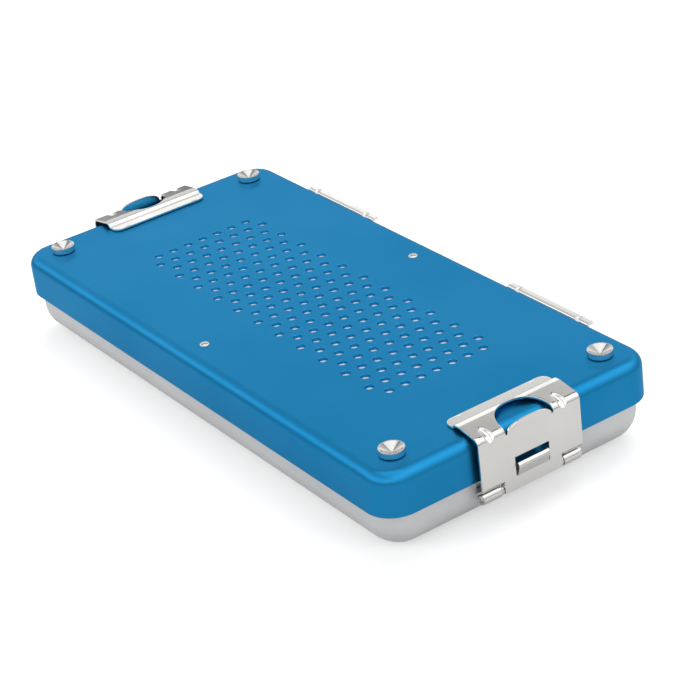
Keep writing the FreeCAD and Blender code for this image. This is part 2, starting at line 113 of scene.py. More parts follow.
anodised = {
    "lid": {"colour": (0.02, 0.255, 0.53), "deepColour": (0.012, 0.235, 0.50), "edge": (0.6, 0.85, 1.0),
            "metallic": 0.97, "roughness": (0.35, 0.41)},
    "tray": {"colour": (0.68, 0.69, 0.695), "deepColour": (0.63, 0.64, 0.645), "edge": (1.0, 1.0, 1.0),
             "metallic": 0.45, "roughness": (0.46, 0.54)},
    "cloudScale": 14.0,
    "blastScale": 5200.0,
    "blastDepth": 0.00002,
}


def anodisedAluminium(name, colour, deepColour, edge, metallic, roughness):
    # Bead-blasted and anodised: a very fine even grain under a satin film, with faint clouds
    material, tree, shader = nodeMaterial(name)
    place = objectCoordinates(tree)
    clouds = noiseOn(tree, place, anodised["cloudScale"], 2.0)
    grain = noiseOn(tree, place, anodised["blastScale"], 2.0, 0.6)
    tree.links.new(colourBetween(tree, rangeOf(tree, clouds, 0, 1, 0.3, 0.7), colour, deepColour),
                   shader.inputs["Base Color"])
    tree.links.new(rangeOf(tree, clouds, *roughness), shader.inputs["Roughness"])
    shader.inputs["Metallic"].default_value = metallic
    shader.inputs["Specular Tint"].default_value = (*edge, 1)
    bumpFrom(tree, grain, shader, 0.25, anodised["blastDepth"])
    return material


stainless = {
    "colour": (0.78, 0.765, 0.735),
    "colourWorn": (0.70, 0.69, 0.67),
    "roughness": (0.13, 0.22),
    "plateRoughness": (0.30, 0.42),
    "brushScale": (900.0, 60.0, 900.0),
    "smearScale": 55.0,
    "depth": 0.000012,
}


def polishedStainless(name, roughness):
    # Polished sheet: faint drawing lines along the sheet and soft wiping marks
    material, tree, shader = nodeMaterial(name)
    lines = noiseOn(tree, objectCoordinates(tree, stainless["brushScale"]), 1.0, 3.0)
    smears = noiseOn(tree, objectCoordinates(tree), stainless["smearScale"], 3.0, 0.6)
    tree.links.new(colourBetween(tree, smears, stainless["colour"], stainless["colourWorn"]),
                   shader.inputs["Base Color"])
    tree.links.new(rangeOf(tree, smears, *roughness, 0.3, 0.7), shader.inputs["Roughness"])
    shader.inputs["Metallic"].default_value = 1.0
    bumpFrom(tree, lines, shader, 0.3, stainless["depth"])
    return material


def turnedSteel(name):
    # Lathe-turned steel with a fine grain
    material, tree, shader = nodeMaterial(name)
    grain = noiseOn(tree, objectCoordinates(tree, (1, 1, 4)), 1400.0, 3.0)
    tree.links.new(colourBetween(tree, grain, (0.70, 0.69, 0.665), (0.60, 0.59, 0.57)),
                   shader.inputs["Base Color"])
    tree.links.new(rangeOf(tree, grain, 0.16, 0.28), shader.inputs["Roughness"])
    shader.inputs["Metallic"].default_value = 1.0
    bumpFrom(tree, grain, shader, 0.2, 0.00001)
    return material


def filterPaper(name):
    # Pressed non-woven filter: white with a faint fibre felt
    material, tree, shader = nodeMaterial(name)
    fibres = noiseOn(tree, objectCoordinates(tree, (1, 0.4, 1)), 2600.0, 5.0, 0.7)
    tree.links.new(colourBetween(tree, fibres, (0.90, 0.91, 0.92), (0.97, 0.97, 0.97)),
                   shader.inputs["Base Color"])
    shader.inputs["Roughness"].default_value = 0.85
    bumpFrom(tree, fibres, shader, 0.4, 0.00004)
    return material


def sealRubber(name):
    material, tree, shader = nodeMaterial(name)
    dust = noiseOn(tree, objectCoordinates(tree), 300.0, 3.0)
    tree.links.new(colourBetween(tree, dust, (0.50, 0.50, 0.48), (0.62, 0.62, 0.60)),
                   shader.inputs["Base Color"])
    shader.inputs["Roughness"].default_value = 0.6
    bumpFrom(tree, dust, shader, 0.2, 0.00003)
    return material


finish = {
    "blue_anodised_lid": anodisedAluminium("blueAnodised", **anodised["lid"]),
    "plain_anodised_tray": anodisedAluminium("plainAnodised", **anodised["tray"]),
    "polished_stainless": polishedStainless("polishedStainless", stainless["roughness"]),
    "turned_steel": turnedSteel("turnedSteel"),
    "seal_rubber": sealRubber("sealRubber"),
    "filter_paper": filterPaper("filterPaper"),
    "plate_aluminium": polishedStainless("plateAluminium", stainless["plateRoughness"]),
}
slotOf = {piece["node"]: piece["material_slot"] for piece in frame["record"]["subparts"]}
for node, piece in cad.items():
    piece.data.materials.clear()
    piece.data.materials.append(finish[slotOf[node]])
print("materials made")


# Mesh helpers

def pieceFrom(bm, name, material):
    mesh = bpy.data.meshes.new(name)
    bm.to_mesh(mesh)
    bm.free()
    mesh.materials.append(material)
    piece = bpy.data.objects.new(name, mesh)
    bpy.context.collection.objects.link(piece)
    return piece


def plainMesh(piece):
    # Turns what the modifiers give into the piece's own mesh
    bpy.context.view_layer.update()
    evaluated = piece.evaluated_get(bpy.context.evaluated_depsgraph_get())
    mesh = bpy.data.meshes.new_from_object(evaluated)
    piece.modifiers.clear()
    piece.data = mesh


def evenShading(piece, sharpDegrees=50):
    piece.data.shade_smooth()
    piece.data.set_sharp_from_angle(angle=math.radians(sharpDegrees))
    normals = piece.modifiers.new("evenNormals", "WEIGHTED_NORMAL")
    normals.keep_sharp = True
    plainMesh(piece)


def dressed(piece, body, slotName, *nodes):
    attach(piece, body)
    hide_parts(*nodes)
    return piece


def quarterTurn(centre, radius, first, last, steps):
    # Points on an arc between two angles in degrees
    angles = [math.radians(first + (last - first) * i / steps) for i in range(steps + 1)]
    return [(centre[0] + radius * math.cos(a), centre[1] + radius * math.sin(a)) for a in angles]


def roundedOutline(halfX, halfY, radius, steps):
    points = []
    for sideX, sideY, first in ((1, 1, 0), (-1, 1, 90), (-1, -1, 180), (1, -1, 270)):
        centre = (sideX * (halfX - radius), sideY * (halfY - radius))
        points += quarterTurn(centre, radius, first, first + 90, steps)
    return points


def joinRings(bm, rings, closed=False):
    pairs = list(zip(rings, rings[1:]))
    if closed:
        pairs.append((rings[-1], rings[0]))
    for near, far in pairs:
        for i in range(len(near)):
            j = (i + 1) % len(near)
            bm.faces.new((near[i], near[j], far[j], far[i]))


def drawnShell(halfX, halfY, corner, profile, steps):
    # Sheet drawn over a rounded block. The profile lists inset and height from the inner to the outer face.
    bm = bmesh.new()
    rings = []
    for inset, z in profile:
        outline = roundedOutline(halfX - inset, halfY - inset, corner - inset, steps)
        rings.append([bm.verts.new((x, y, z)) for x, y in outline])
    bm.faces.new(rings[0])
    bm.faces.new(rings[-1])
    joinRings(bm, rings)
    bmesh.ops.recalc_face_normals(bm, faces=bm.faces)
    return bm


def turnedMesh(profile, segments):
    # Turned about the Z axis. The profile lists radius and height in millimetres, and closes at the axis.
    bm = bmesh.new()
    rings = []
    for radius, z in profile:
        if radius == 0:
            rings.append([bm.verts.new((0, 0, z * mm))])
            continue
        around = [math.tau * i / segments for i in range(segments)]
        rings.append([bm.verts.new((radius * mm * math.cos(a), radius * mm * math.sin(a), z * mm))
                      for a in around])
    for near, far in zip(rings, rings[1:]):
        for i in range(segments):
            j = (i + 1) % segments
            if len(near) == 1:
                bm.faces.new((near[0], far[j], far[i]))
            elif len(far) == 1:
                bm.faces.new((near[i], near[j], far[0]))
            else:
                bm.faces.new((near[i], near[j], far[j], far[i]))
    bmesh.ops.recalc_face_normals(bm, faces=bm.faces)
    return bm


def brokenEdges(profile, size):
    # The same profile with each corner taken off by a small round of three points
    points = [Vector(p) for p in profile]
    result = [profile[0]]
    for before, corner, after in zip(points, points[1:], points[2:]):
        back = before - corner
        ahead = after - corner
        reach = min(size, back.length * 0.45, ahead.length * 0.45)
        first = corner + back.normalized() * reach
        last = corner + ahead.normalized() * reach
        middle = (first + last + 2 * corner) / 4
        result += [tuple(first), tuple(middle), tuple(last)]
    return result + [profile[-1]]


# Geometry Nodes helpers

def nodeTree(name, sockets):
    tree = bpy.data.node_groups.new(name, "GeometryNodeTree")
    tree.interface.new_socket("Geometry", in_out="INPUT", socket_type="NodeSocketGeometry")
    identifiers = {}
    for label, kind in sockets.items():
        socket = tree.interface.new_socket(label, in_out="INPUT", socket_type=kind)
        identifiers[label] = socket.identifier
    tree.interface.new_socket("Geometry", in_out="OUTPUT", socket_type="NodeSocketGeometry")
    return tree, identifiers, tree.nodes.new("NodeGroupInput"), tree.nodes.new("NodeGroupOutput")


def calculate(tree, operation, first, second=None, third=None):
    node = tree.nodes.new("ShaderNodeMath")
    node.operation = operation
    for socket, value in zip(node.inputs, (first, second, third)):
        if value is None:
            continue
        if isinstance(value, (int, float)):
            socket.default_value = value
        else:
            tree.links.new(value, socket)
    return node.outputs[0]


def throughNodes(piece, tree, identifiers, values):
    modifier = piece.modifiers.new(tree.name, "NODES")
    modifier.node_group = tree
    for label, value in values.items():
        modifier[identifiers[label]] = value
    plainMesh(piece)


# Lid: drawn shell with a perforated field

lid = {
    "half": (150.0, 70.0),
    "cornerRadius": 13.5,
    "edgeRadius": 5.5,
    "sheet": 1.5,
    "rimBreak": 0.3,
    "cornerSteps": 22,
    "edgeSteps": 12,
    "rows": 23,
    "rowPitch": 8.45,
    "holePitch": 8.22,
    "holesInLongRow": 8,
    "holeRadius": 2.0,
    "holeBreak": 0.22,
    "holeSides": 30,
}


def lidProfile():
    sheet, edge, rim = lid["sheet"], lid["edgeRadius"], lid["rimBreak"]
    top, bottom = lidHigh.z / mm, lidLow.z / mm
    steps = lid["edgeSteps"]
    inner = [(edge - x, z) for x, z in quarterTurn((0, top - edge), edge - sheet, 90, 0, steps)]
    outer = [(edge - x, z) for x, z in quarterTurn((0, top - edge), edge, 0, 90, steps)]
    innerRim = [(sheet, bottom + rim), (sheet - rim * 0.3, bottom + rim * 0.3), (sheet - rim, bottom)]
    outerRim = [(rim, bottom), (rim * 0.3, bottom + rim * 0.3), (0, bottom + rim)]
    wall = [(0, bottom + 2 * rim), (0, top - edge - rim)]
    profile = [(edge + 1, top - sheet)] + inner + innerRim + outerRim + wall + outer + [(edge + 1, top)]
    return [(inset * mm, z * mm) for inset, z in profile]


def perforationTree():
    # Rows of punches, every other row one shorter and half a pitch over, cut out of the sheet
    tree, identifiers, given, result = nodeTree("perforatedField", {
        "Rows": "NodeSocketInt", "Row Pitch": "NodeSocketFloat", "Holes In Long Row": "NodeSocketInt",
        "Hole Pitch": "NodeSocketFloat", "Hole Radius": "NodeSocketFloat", "Edge Break": "NodeSocketFloat",
        "Hole Sides": "NodeSocketInt", "Sheet Top": "NodeSocketFloat", "Sheet": "NodeSocketFloat",
        "Finish": "NodeSocketMaterial",
    })
    value = given.outputs
    link = tree.links.new
    grid = tree.nodes.new("GeometryNodeMeshGrid")
    link(value["Rows"], grid.inputs["Vertices X"])
    link(value["Holes In Long Row"], grid.inputs["Vertices Y"])
    gaps = calculate(tree, "SUBTRACT", value["Rows"], 1)
    link(calculate(tree, "MULTIPLY", gaps, value["Row Pitch"]), grid.inputs["Size X"])
    lastHole = calculate(tree, "SUBTRACT", value["Holes In Long Row"], 1)
    link(calculate(tree, "MULTIPLY", lastHole, value["Hole Pitch"]), grid.inputs["Size Y"])
    index = tree.nodes.new("GeometryNodeInputIndex").outputs[0]
    row = calculate(tree, "FLOOR", calculate(tree, "DIVIDE", index, value["Holes In Long Row"]))
    shortRow = calculate(tree, "SUBTRACT", 1, calculate(tree, "MODULO", row, 2))
    inRow = calculate(tree, "MODULO", index, value["Holes In Long Row"])
    lastInRow = calculate(tree, "COMPARE", inRow, lastHole, 0.1)
    shift = tree.nodes.new("ShaderNodeCombineXYZ")
    halfPitch = calculate(tree, "MULTIPLY", value["Hole Pitch"], 0.5)
    link(calculate(tree, "MULTIPLY", shortRow, halfPitch), shift.inputs["Y"])
    moved = tree.nodes.new("GeometryNodeSetPosition")
    link(grid.outputs["Mesh"], moved.inputs["Geometry"])
    link(shift.outputs[0], moved.inputs["Offset"])
    fewer = tree.nodes.new("GeometryNodeDeleteGeometry")
    link(moved.outputs[0], fewer.inputs["Geometry"])
    link(calculate(tree, "MULTIPLY", shortRow, lastInRow), fewer.inputs["Selection"])
    punch = tree.nodes.new("GeometryNodeMeshCylinder")
    punch.inputs["Side Segments"].default_value = 2
    punch.inputs["Depth"].default_value = 2.0
    link(value["Hole Sides"], punch.inputs["Vertices"])
    link(value["Hole Radius"], punch.inputs["Radius"])
    place = tree.nodes.new("GeometryNodeInputPosition")
    parts = tree.nodes.new("ShaderNodeSeparateXYZ")
    link(place.outputs[0], parts.inputs[0])
    upper = calculate(tree, "GREATER_THAN", parts.outputs["Z"], 0.5)
    lower = calculate(tree, "LESS_THAN", parts.outputs["Z"], -0.5)
    twoBreaks = calculate(tree, "MULTIPLY", value["Edge Break"], 2)
    widen = calculate(tree, "MULTIPLY_ADD", upper, calculate(tree, "DIVIDE", twoBreaks, value["Hole Radius"]), 1)
    height = calculate(tree, "SUBTRACT", value["Sheet Top"], value["Edge Break"])
    height = calculate(tree, "MULTIPLY_ADD", upper, twoBreaks, height)
    twoSheets = calculate(tree, "MULTIPLY", value["Sheet"], 2)
    height = calculate(tree, "SUBTRACT", height, calculate(tree, "MULTIPLY", lower, twoSheets))
    shaped = tree.nodes.new("ShaderNodeCombineXYZ")
    link(calculate(tree, "MULTIPLY", parts.outputs["X"], widen), shaped.inputs["X"])
    link(calculate(tree, "MULTIPLY", parts.outputs["Y"], widen), shaped.inputs["Y"])
    link(height, shaped.inputs["Z"])
    punchShape = tree.nodes.new("GeometryNodeSetPosition")
    link(punch.outputs["Mesh"], punchShape.inputs["Geometry"])
    link(shaped.outputs[0], punchShape.inputs["Position"])
    copies = tree.nodes.new("GeometryNodeInstanceOnPoints")
    link(fewer.outputs[0], copies.inputs["Points"])
    link(punchShape.outputs[0], copies.inputs["Instance"])
    real = tree.nodes.new("GeometryNodeRealizeInstances")
    link(copies.outputs[0], real.inputs[0])
    cut = tree.nodes.new("GeometryNodeMeshBoolean")
    cut.operation = "DIFFERENCE"
    cut.solver = "EXACT"
    link(given.outputs["Geometry"], cut.inputs["Mesh 1"])
    link(real.outputs[0], cut.inputs["Mesh 2"])
    plain = tree.nodes.new("GeometryNodeRealizeInstances")
    link(cut.outputs["Mesh"], plain.inputs[0])
    painted = tree.nodes.new("GeometryNodeSetMaterial")
    link(plain.outputs[0], painted.inputs["Geometry"])
    link(value["Finish"], painted.inputs["Material"])
    link(painted.outputs[0], result.inputs["Geometry"])
    return tree, identifiers


def perforatedLid():
    halfX, halfY = (half * mm for half in lid["half"])
    bm = drawnShell(halfX, halfY, lid["cornerRadius"] * mm, lidProfile(), lid["cornerSteps"])
    blue = finish["blue_anodised_lid"]
    piece = pieceFrom(bm, "perforatedLid", blue)
    tree, identifiers = perforationTree()
    throughNodes(piece, tree, identifiers, {
        "Rows": lid["rows"], "Row Pitch": lid["rowPitch"] * mm, "Holes In Long Row": lid["holesInLongRow"],
        "Hole Pitch": lid["holePitch"] * mm, "Hole Radius": lid["holeRadius"] * mm,
        "Edge Break": lid["holeBreak"] * mm, "Hole Sides": lid["holeSides"], "Sheet Top": lidHigh.z,
        "Sheet": lid["sheet"] * mm, "Finish": blue,
    })
    evenShading(piece, 32)
    return dressed(piece, "lid", "blue_anodised_lid", "lid_shell")


perforatedLid()
print("lid made")


# Tray

tray = {
    "half": (147.8, 67.8),
    "cornerRadius": 15.0,
    "bottomRadius": 12.795,
    "sheet": 1.5,
    "rimBreak": 0.3,
    "cornerSteps": 22,
    "bottomSteps": 16,
}


def trayProfile():
    sheet, bend, rim = tray["sheet"], tray["bottomRadius"], tray["rimBreak"]
    bottom, top = trayLow.z / mm, trayHigh.z / mm
    steps = tray["bottomSteps"]
    inner = [(bend - x, z) for x, z in quarterTurn((0, bottom + bend), bend - sheet, -90, 0, steps)]
    outer = [(bend - x, z) for x, z in quarterTurn((0, bottom + bend), bend, 0, -90, steps)]
    innerRim = [(sheet, top - rim), (sheet - rim * 0.3, top - rim * 0.3), (sheet - rim, top)]
    outerRim = [(rim, top), (rim * 0.3, top - rim * 0.3), (0, top - rim)]
    profile = [(bend + 1, bottom + sheet)] + inner + innerRim + outerRim + outer + [(bend + 1, bottom)]
    return [(inset * mm, z * mm) for inset, z in profile]


def drawnTray():
    halfX, halfY = (half * mm for half in tray["half"])
    bm = drawnShell(halfX, halfY, tray["cornerRadius"] * mm, trayProfile(), tray["cornerSteps"])
    piece = pieceFrom(bm, "drawnTray", finish["plain_anodised_tray"])
    evenShading(piece)
    return dressed(piece, "base", "plain_anodised_tray", "base_tray")


drawnTray()
print("tray made")


# Turned pieces: stacking cups, clip rivets, latch pins

cup = {"radius": 5.5, "height": 3.0, "rim": 0.42, "foot": 0.45, "recess": 2.2, "floor": 0.5, "edge": 0.13,
       "shank": 1.5, "tail": 2.4, "tailHeight": 0.8, "segments": 96}
clipRivet = {"head": 2.3, "height": 0.9, "shank": 1.5, "neck": 1.3, "segments": 48}
pinShape = {"radius": 1.5, "chamfer": 0.3, "edge": 0.1, "segments": 40}


def movedTo(bm, place, turn=None):
    if turn is not None:
        bm.transform(turn.to_4x4())
    bmesh.ops.translate(bm, vec=place, verts=bm.verts)
    return bm


def stackingCup(node):
    low, high = (Vector(corner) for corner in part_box(node))
    radius, rim, sheet = cup["radius"], cup["rim"], lid["sheet"]
    profile = brokenEdges([
        (0, -sheet - cup["tailHeight"]), (cup["tail"], -sheet - cup["tailHeight"]), (cup["tail"], -sheet),
        (cup["shank"], -sheet), (cup["shank"], 0), (radius - cup["foot"], 0), (radius, cup["foot"]),
        (radius, cup["height"]), (radius - rim, cup["height"]), (cup["floor"], cup["height"] - cup["recess"]),
        (0, cup["height"] - cup["recess"]),
    ], cup["edge"])
    middle = (low + high) / 2
    bm = movedTo(turnedMesh(profile, cup["segments"]), (middle.x, middle.y, lidHigh.z))
    piece = pieceFrom(bm, node.replace("stacking_cup", "turnedCup"), finish["turned_steel"])
    evenShading(piece, 40)
    return dressed(piece, "lid", "turned_steel", node)


def clipRivetHead(node):
    low, high = (Vector(corner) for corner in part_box(node))
    head, height = clipRivet["head"], clipRivet["height"]
    below = low.z / mm - lidHigh.z / mm
    shank, neck, sheet = clipRivet["shank"], clipRivet["neck"], lid["sheet"]
    dome = [(head * math.cos(a), height * math.sin(a)) for a in (math.radians(10 * i) for i in range(1, 9))]
    profile = [(0, below), (shank, below), (shank, -sheet), (neck, -sheet), (neck, 0), (head, 0)]
    middle = (low + high) / 2
    bm = movedTo(turnedMesh(profile + dome + [(0, height)], clipRivet["segments"]), (middle.x, middle.y, lidHigh.z))
    piece = pieceFrom(bm, node.replace("clip_pivot", "clipRivet"), finish["turned_steel"])
    evenShading(piece, 40)
    return dressed(piece, "lid", "turned_steel", node)


def hingePin(node):
    low, high = (Vector(corner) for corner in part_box(node))
    half = (high.y - low.y) / 2 / mm
    radius, chamfer = pinShape["radius"], pinShape["chamfer"]
    profile = brokenEdges([(0, -half), (radius - chamfer, -half), (radius, chamfer - half),
                           (radius, half - chamfer), (radius - chamfer, half), (0, half)], pinShape["edge"])
    along = Matrix.Rotation(math.pi / 2, 3, "X")
    bm = movedTo(turnedMesh(profile, pinShape["segments"]), (low + high) / 2, along)
    piece = pieceFrom(bm, node.replace("latch_pin", "hingePin"), finish["turned_steel"])
    evenShading(piece, 40)
    return dressed(piece, "base", "polished_stainless", node)


for end in ("left", "right"):
    hingePin("latch_pin_" + end)
    for side in ("front", "rear"):
        stackingCup("stacking_cup_" + end + "_" + side)
for side in ("front", "rear"):
    clipRivetHead("clip_pivot_" + side)
print("turned pieces made")


# Rivets that hold the plates on the tray

rivet = {"shank": 1.0, "head": 1.4, "headHeight": 0.7, "tail": 1.5, "tailHeight": 0.6, "plate": 0.9,
         "sides": 24, "latchSpacing": 16.0, "guideSpacing": 36.0}


def rivetTree():
    tree, identifiers, given, result = nodeTree("plateRivets", {
        "Rivet": "NodeSocketObject", "Size": "NodeSocketFloat", "Finish": "NodeSocketMaterial",
    })
    link = tree.links.new
    pattern = tree.nodes.new("GeometryNodeObjectInfo")
    link(given.outputs["Rivet"], pattern.inputs["Object"])
    facing = tree.nodes.new("GeometryNodeInputNamedAttribute")
    facing.data_type = "FLOAT_VECTOR"
    facing.inputs["Name"].default_value = "facing"
    turn = tree.nodes.new("FunctionNodeAlignRotationToVector")
    turn.axis = "Z"
    link(facing.outputs["Attribute"], turn.inputs["Vector"])
    copies = tree.nodes.new("GeometryNodeInstanceOnPoints")
    link(given.outputs["Geometry"], copies.inputs["Points"])
    link(pattern.outputs["Geometry"], copies.inputs["Instance"])
    link(turn.outputs["Rotation"], copies.inputs["Rotation"])
    link(given.outputs["Size"], copies.inputs["Scale"])
    real = tree.nodes.new("GeometryNodeRealizeInstances")
    link(copies.outputs[0], real.inputs[0])
    painted = tree.nodes.new("GeometryNodeSetMaterial")
    link(real.outputs[0], painted.inputs["Geometry"])
    link(given.outputs["Finish"], painted.inputs["Material"])
    link(painted.outputs[0], result.inputs["Geometry"])
    return tree, identifiers


def rivetPlaces():
    # Place on the tray's outer face and outward direction of each rivet
    halfX, halfY = (half * mm for half in tray["half"])
    places = []
    for end in (-1, 1):
        low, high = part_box("latch_rivets_right")
        for side in (-1, 1):
            across = side * rivet["latchSpacing"] / 2 * mm
            places.append(((end * halfX, across, (low[2] + high[2]) / 2), (end, 0, 0)))
    for end in ("left", "right"):
        low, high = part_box("guide_rivets_" + end)
        for side in (-1, 1):
            along = (low[0] + high[0]) / 2 + side * rivet["guideSpacing"] / 2 * mm
            places.append(((along, halfY, (low[2] + high[2]) / 2), (0, 1, 0)))
    return places


def plateRivets():
    sheet, plate, head, rise = tray["sheet"], rivet["plate"], rivet["head"], rivet["headHeight"]
    tail, end = rivet["tail"], -tray["sheet"] - rivet["tailHeight"]
    dome = [(head * math.cos(a), plate + rise * math.sin(a)) for a in (math.radians(15 * i) for i in range(1, 6))]
    profile = [(0, end), (tail, end), (tail, -sheet), (rivet["shank"], -sheet), (rivet["shank"], plate), (head, plate)]
    bm = turnedMesh(profile + dome + [(0, plate + rise)], rivet["sides"])
    pattern = pieceFrom(bm, "rivetPattern", finish["turned_steel"])
    bm = bmesh.new()
    facing = bm.verts.layers.float_vector.new("facing")
    for place, direction in rivetPlaces():
        bm.verts.new(place)[facing] = direction
    piece = pieceFrom(bm, "plateRivets", finish["turned_steel"])
    tree, identifiers = rivetTree()
    throughNodes(piece, tree, identifiers, {"Rivet": pattern, "Size": 1.0, "Finish": finish["turned_steel"]})
    bpy.data.objects.remove(pattern)
    evenShading(piece, 40)
    return dressed(piece, "base", "turned_steel", "latch_rivets_left", "latch_rivets_right",
                   "guide_rivets_left", "guide_rivets_right")


plateRivets()
print("rivets made")


# Bent sheet: a flat blank with broken edges, bent along a path and pressed with darts

def bendPath(points, radii):
    # Pieces of a path through the points with a round at each inner one: start, heading, length, turn
    pieces = []
    start = Vector(points[0])
    for i in range(1, len(points) - 1):
        corner = Vector(points[i])
        back = (Vector(points[i - 1]) - corner).normalized()
        ahead = (Vector(points[i + 1]) - corner).normalized()
        turn = (-back).angle_signed(ahead) * -1
        reach = radii[i - 1] * math.tan(abs(turn) / 2)
        first = corner + back * reach
        heading = math.atan2(-back.y, -back.x)
        pieces.append((start, heading, (first - start).length, 0.0))
        pieces.append((first, heading, radii[i - 1] * abs(turn), turn))
        start = corner + ahead * reach
    last = Vector(points[-1])
    heading = math.atan2(last.y - start.y, last.x - start.x)
    pieces.append((start, heading, (last - start).length, 0.0))
    return pieces


def pathLength(path):
    return sum(piece[2] for piece in path)


def alongPath(path, distance):
    # Point and left-hand normal at a distance along the path
    for start, heading, length, turn in path:
        if distance <= length or (start, heading, length, turn) == path[-1]:
            break
        distance -= length
    if turn == 0:
        point = start + Vector((math.cos(heading), math.sin(heading))) * distance
    else:
        radius = length / turn
        angle = distance / radius
        point = start + radius * Vector((math.sin(heading + angle) - math.sin(heading),
                                         math.cos(heading) - math.cos(heading + angle)))
        heading += angle
    return point, Vector((-math.sin(heading), math.cos(heading)))


def insetLoop(loop, amount):
    result = []
    for i, point in enumerate(loop):
        before = (point - loop[i - 1]).normalized()
        after = (loop[(i + 1) % len(loop)] - point).normalized()
        left = Vector((-before.y - after.y, before.x + after.x)) / 2
        result.append(point + left * (amount / max(left.length_squared, 0.3)))
    return result


def turnedLoop(loop, wanted):
    # The loop as vectors, running round the way that keeps the sheet on its left
    area = sum(a[0] * b[1] - b[0] * a[1] for a, b in zip(loop, loop[1:] + loop[:1]))
    points = [Vector(p) for p in loop]
    return points if area * wanted > 0 else points[::-1]


def isWithin(point, loop):
    inside = False
    for a, b in zip(loop, loop[1:] + loop[:1]):
        if (a.y > point.y) != (b.y > point.y) and point.x < a.x + (point.y - a.y) * (b.x - a.x) / (b.y - a.y):
            inside = not inside
    return inside


def flatBlank(outline, holes, sheet, edgeBreak):
    loops = [turnedLoop(outline, 1)] + [turnedLoop(hole, -1) for hole in holes]
    bm = bmesh.new()
    steps = [(edgeBreak, 0), (edgeBreak * 0.3, -edgeBreak * 0.3), (0, -edgeBreak),
             (0, edgeBreak - sheet), (edgeBreak * 0.3, edgeBreak * 0.3 - sheet), (edgeBreak, -sheet)]
    flat, faceEdges, openings = [], [], []
    upper, lower = [], []
    for loop in loops:
        rings = [[bm.verts.new((p.x, p.y, t)) for p in insetLoop(loop, inset)] for inset, t in steps]
        joinRings(bm, rings)
        first = len(flat)
        flat += [Vector(v.co[:2]) for v in rings[0]]
        faceEdges += [(first + i, first + (i + 1) % len(loop)) for i in range(len(loop))]
        openings.append(flat[first:])
        upper += rings[0]
        lower += rings[-1]
    points, edges, faces, origins, _, _ = delaunay_2d_cdt(flat, faceEdges, [], 1, 1e-6)
    for face in faces:
        centre = sum((points[i] for i in face), Vector((0, 0))) / len(face)
        if any(isWithin(centre, opening) for opening in openings[1:]):
            continue
        used = [origins[i][0] for i in face]
        bm.faces.new([upper[i] for i in used])
        bm.faces.new([lower[i] for i in reversed(used)])
    return bm


def scoreLines(bm, alongLines, acrossLines):
    # Extra edges where the sheet bends or is pressed
    for axis, lines in ((Vector((1, 0, 0)), alongLines), (Vector((0, 1, 0)), acrossLines)):
        for line in lines:
            bmesh.ops.bisect_plane(bm, geom=bm.verts[:] + bm.edges[:] + bm.faces[:], dist=1e-5,
                                   plane_co=axis * line, plane_no=axis)


def bendLines(path, offset, degreesPerLine, sign=1):
    # Distances of the edges that each round of the path needs
    lines, done = [], 0.0
    for _, _, length, turn in path:
        if turn:
            count = max(2, math.ceil(abs(math.degrees(turn)) / degreesPerLine))
            lines += [offset + sign * (done + length * i / count) for i in range(count + 1)]
        done += length
    return lines


def spread(low, high, step):
    count = max(1, round((high - low) / step))
    return [low + (high - low) * i / count for i in range(count + 1)]


def pressedDepth(point, across, dart):
    # How far a groove with its bottom on the dart's chord pushes the sheet in at a point
    radius, soft = dart["radius"], dart["lip"]
    rise = (point - dart["start"]).dot(dart["outwards"])
    across = abs(across)
    if across < 0.9 * radius:
        floor = radius - math.sqrt(radius ** 2 - across ** 2)
    else:
        floor = 0.564 * radius + 2.06 * (across - 0.9 * radius)
    over = rise - floor
    if over <= -soft:
        return 0.0
    pressed = over if over >= soft else (over + soft) ** 2 / (4 * soft)
    return dart["depth"] * math.tanh(pressed / dart["depth"])


# Latch flap

latch = {
    "sheet": 1.0,
    "edgeBreak": 0.13,
    "halfWidth": 26.0,
    "face": 153.7,
    "stripGap": 0.3,
    "reach": 22.4,
    "stripWidth": 6.1,
    "stripCorner": 4.0,
    "jogRun": 0.95,
    "jogRise": 1.4,
    "crestRun": 4.4,
    "crestRise": 1.62,
    "slopeDegrees": 9.9,
    "radii": (0.6, 1.5, 2.2, 3.0),
    "bottomBelowPin": 1.3,
    "slitTopAbovePin": 4.62,
    "tongueHalfWidth": 14.7,
    "rollInnerEnd": 16.2,
    "rollOuterEnd": 25.4,
    "rollRadius": 2.78,
    "pinSetBack": 3.08,
    "crankDegrees": 31.0,
    "crankRadius": 0.5,
    "rollEndDegrees": 60.0,
    "thumbRadius": 12.3,
    "thumbInset": 1.4,
    "tabHalfWidth": 11.35,
    "tabAboveLid": 2.3,
    "tabLeanDegrees": 6.0,
    "windowHalfWidth": 8.7,
    "windowTopShare": 0.506,
    "windowShare": 0.322,
    "lipHalfWidth": 7.9,
    "lipPoints": ((0.0, 0.0), (1.7, 4.9), (0.5, 6.1)),
    "lipRadius": 1.2,
    "darts": (-19.9, 17.3),
    "dartRun": 6.9,
    "dartDrop": 2.9,
    "dartRadius": 1.9,
    "dartLip": 0.25,
    "dartDepth": 1.5,
    "dartReach": 3.6,
    "dartStep": 0.3,
    "slack": 0.3,
}


